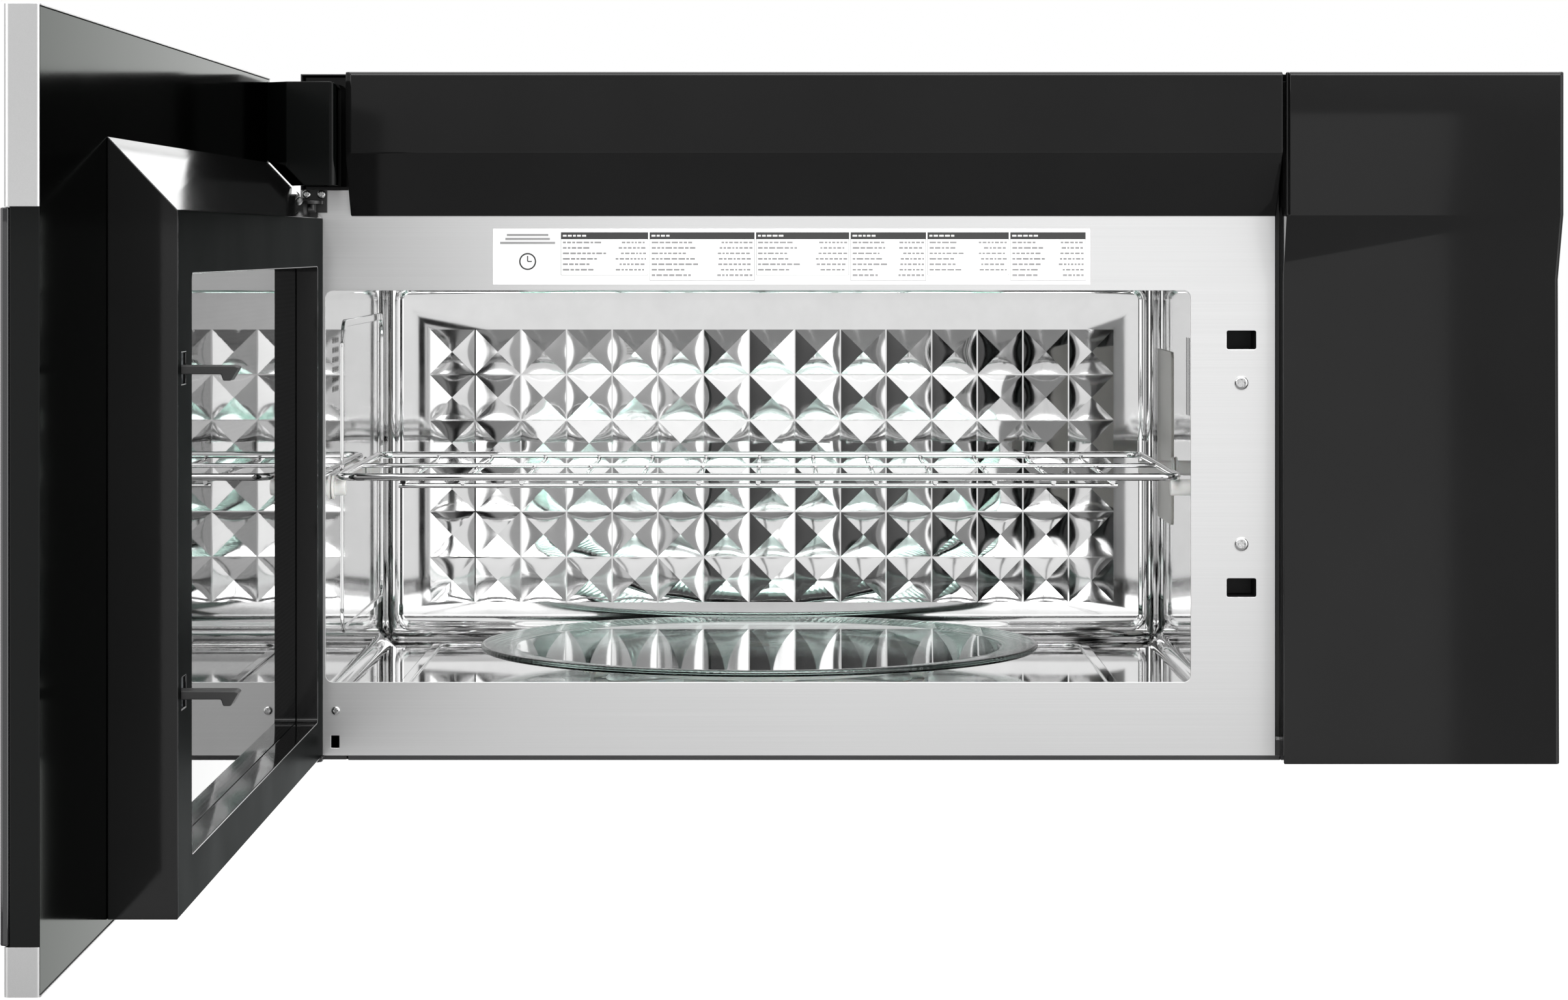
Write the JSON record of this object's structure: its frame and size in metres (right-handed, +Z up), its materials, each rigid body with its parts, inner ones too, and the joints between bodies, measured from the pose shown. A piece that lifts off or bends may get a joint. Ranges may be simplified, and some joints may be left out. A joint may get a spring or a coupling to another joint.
{
  "type": "over-the-range microwave oven",
  "caption": "Over-the-range microwave with a full width left hinged door open at a right angle, embossed steel cavity, wire rack, glass turntable and a vent blower.",
  "frame": {"origin": "middle of the wall plate's back face, where the oven meets the wall", "axes": "+Z up, front towards -Y, +X to the right seen from the front"},
  "size_m": [0.7958, 1.1621, 0.4282],
  "materials": {
    "galvanised": "zinc plated sheet, dull spangle",
    "case_paint": "satin black powder coat",
    "face_steel": "horizontally brushed stainless",
    "trim_steel": "fine brushed stainless",
    "cavity_steel": "bright rolled stainless",
    "black_gloss": "piano black moulding",
    "black_matte": "fine textured moulding",
    "white_plastic": "satin nylon",
    "chrome_wire": "bright plated wire",
    "clear_glass": "clear tempered glass with a green edge",
    "tinted_glass": "smoked glass, polished",
    "black_glass": "back painted black glass, polished",
    "label_paper": "matt printed label",
    "screw_steel": "bright zinc plated",
    "aluminium_mesh": "brushed mesh and frame",
    "carbon_felt": "carbon granules in felt",
    "mica": "mica board",
    "board_green": "circuit board with its parts",
    "core_iron": "varnished laminations",
    "copper": "enamelled copper winding",
    "lens": "frosted lens",
    "lamp_board": "white lamp board"
  },
  "bodies": {
    "oven": {"wall_mounting_plate": "galvanised", "rear_panel": "galvanised", "outer_case": "case_paint", "base_pan": "case_paint", "screws": "screw_steel", "front_plate": "face_steel", "upper_fascia": "black_gloss", "right_fascia": "black_gloss", "top_vent_grille": "black_matte", "charcoal_filter": "carbon_felt", "quick_guide_label": "label_paper", "cavity_floor": "cavity_steel", "cavity_roof": "cavity_steel", "cavity_left_wall": "cavity_steel", "cavity_right_wall": "cavity_steel", "cavity_back_wall": "cavity_steel", "waveguide_cover": "mica", "rack_supports": "white_plastic", "wire_rack": "chrome_wire", "turntable_motor": "galvanised", "hinge_brackets": "galvanised", "latch_board": "black_matte", "interlock_switches": "black_matte", "vent_blower_housing": "galvanised", "fan_motors": "galvanised", "exhaust_adapter": "galvanised", "cooktop_lamps": "lamp_board", "cooktop_lamp_covers": "lens", "cavity_lamp": "lamp_board", "waveguide": "galvanised", "magnetron": "galvanised", "magnetron_fan_housing": "black_matte", "transformer_core": "core_iron", "transformer_windings": "copper", "high_voltage_capacitor": "galvanised", "cord_bushing": "black_matte", "circuit_boards": "board_green"},
    "door": {"door_choke_cover": "black_gloss", "door_inner_window": "tinted_glass", "door_screen_mesh": "case_paint", "door_hinge_bushes": "white_plastic", "door_frame": "galvanised", "door_back_cover": "black_gloss", "door_front_glass": "black_glass", "door_top_trim": "trim_steel", "door_bottom_trim": "trim_steel", "user_interface_board": "board_green", "latch_spring": "screw_steel"},
    "latch": {"latch_hooks": "black_matte"},
    "turntable": {"glass_tray": "clear_glass", "turntable_coupler": "white_plastic"},
    "roller_ring": {"roller_ring": "white_plastic"},
    "roller_1": {"roller_1": "white_plastic"},
    "roller_2": {"roller_2": "white_plastic"},
    "roller_3": {"roller_3": "white_plastic"},
    "vent_blower": {"vent_blower_wheels": "black_matte"},
    "cooling_fan": {"magnetron_fan_wheel": "black_matte"},
    "damper": {"damper_flap": "galvanised"},
    "filter_left": {"grease_filter_left": "aluminium_mesh"},
    "filter_right": {"grease_filter_right": "aluminium_mesh"}
  },
  "joints": [
    {"name": "door_hinge", "type": "hinge", "parent": "oven", "child": "door", "pos_m": [-0.3716, -0.413, 0], "axis": [0, 0, -1], "range_deg": [-90, 10]},
    {"name": "latch_lift", "type": "slide", "parent": "door", "child": "latch", "axis": [0, 0, 1], "range_m": [0, 0.003], "stiffness_N_per_m": 400, "springref_m": -0.005, "deforming": ["latch_spring"]},
    {"name": "turntable_spin", "type": "hinge", "parent": "oven", "child": "turntable", "pos_m": [-0.10225, -0.2164, 0], "axis": [0, 0, 1], "continuous": true},
    {"name": "roller_ring_spin", "type": "hinge", "parent": "oven", "child": "roller_ring", "pos_m": [-0.10225, -0.2164, 0], "axis": [0, 0, 1], "continuous": true},
    {"name": "roller_1_spin", "type": "hinge", "parent": "roller_ring", "child": "roller_1", "pos_m": [-0.10225, -0.0984, -0.1662], "axis": [0, 1, 0], "continuous": true},
    {"name": "roller_2_spin", "type": "hinge", "parent": "roller_ring", "child": "roller_2", "pos_m": [-0.20444, -0.2754, -0.1662], "axis": [-0.866, -0.5, 0], "continuous": true},
    {"name": "roller_3_spin", "type": "hinge", "parent": "roller_ring", "child": "roller_3", "pos_m": [-0.00006, -0.2754, -0.1662], "axis": [0.866, -0.5, 0], "continuous": true},
    {"name": "vent_blower_spin", "type": "hinge", "parent": "oven", "child": "vent_blower", "pos_m": [0, -0.075, 0.1423], "axis": [1, 0, 0], "continuous": true},
    {"name": "cooling_fan_spin", "type": "hinge", "parent": "oven", "child": "cooling_fan", "pos_m": [0.2955, -0.04, -0.0897], "axis": [0, 1, 0], "continuous": true},
    {"name": "damper_hinge", "type": "hinge", "parent": "oven", "child": "damper", "pos_m": [0, -0.0235, 0.2117], "axis": [-1, 0, 0], "range_deg": [0, 75]},
    {"name": "filter_left_slide", "type": "slide", "parent": "oven", "child": "filter_left", "axis": [1, 0, 0], "range_m": [0, 0.008]},
    {"name": "filter_right_slide", "type": "slide", "parent": "oven", "child": "filter_right", "axis": [1, 0, 0], "range_m": [0, 0.008]}
  ],
  "couplings": [
    {"joint": "roller_ring_spin", "follows": "turntable_spin", "ratio": 0.5},
    {"joint": "roller_1_spin", "follows": "turntable_spin", "ratio": -11.346},
    {"joint": "roller_2_spin", "follows": "turntable_spin", "ratio": -11.346},
    {"joint": "roller_3_spin", "follows": "turntable_spin", "ratio": -11.346}
  ]
}
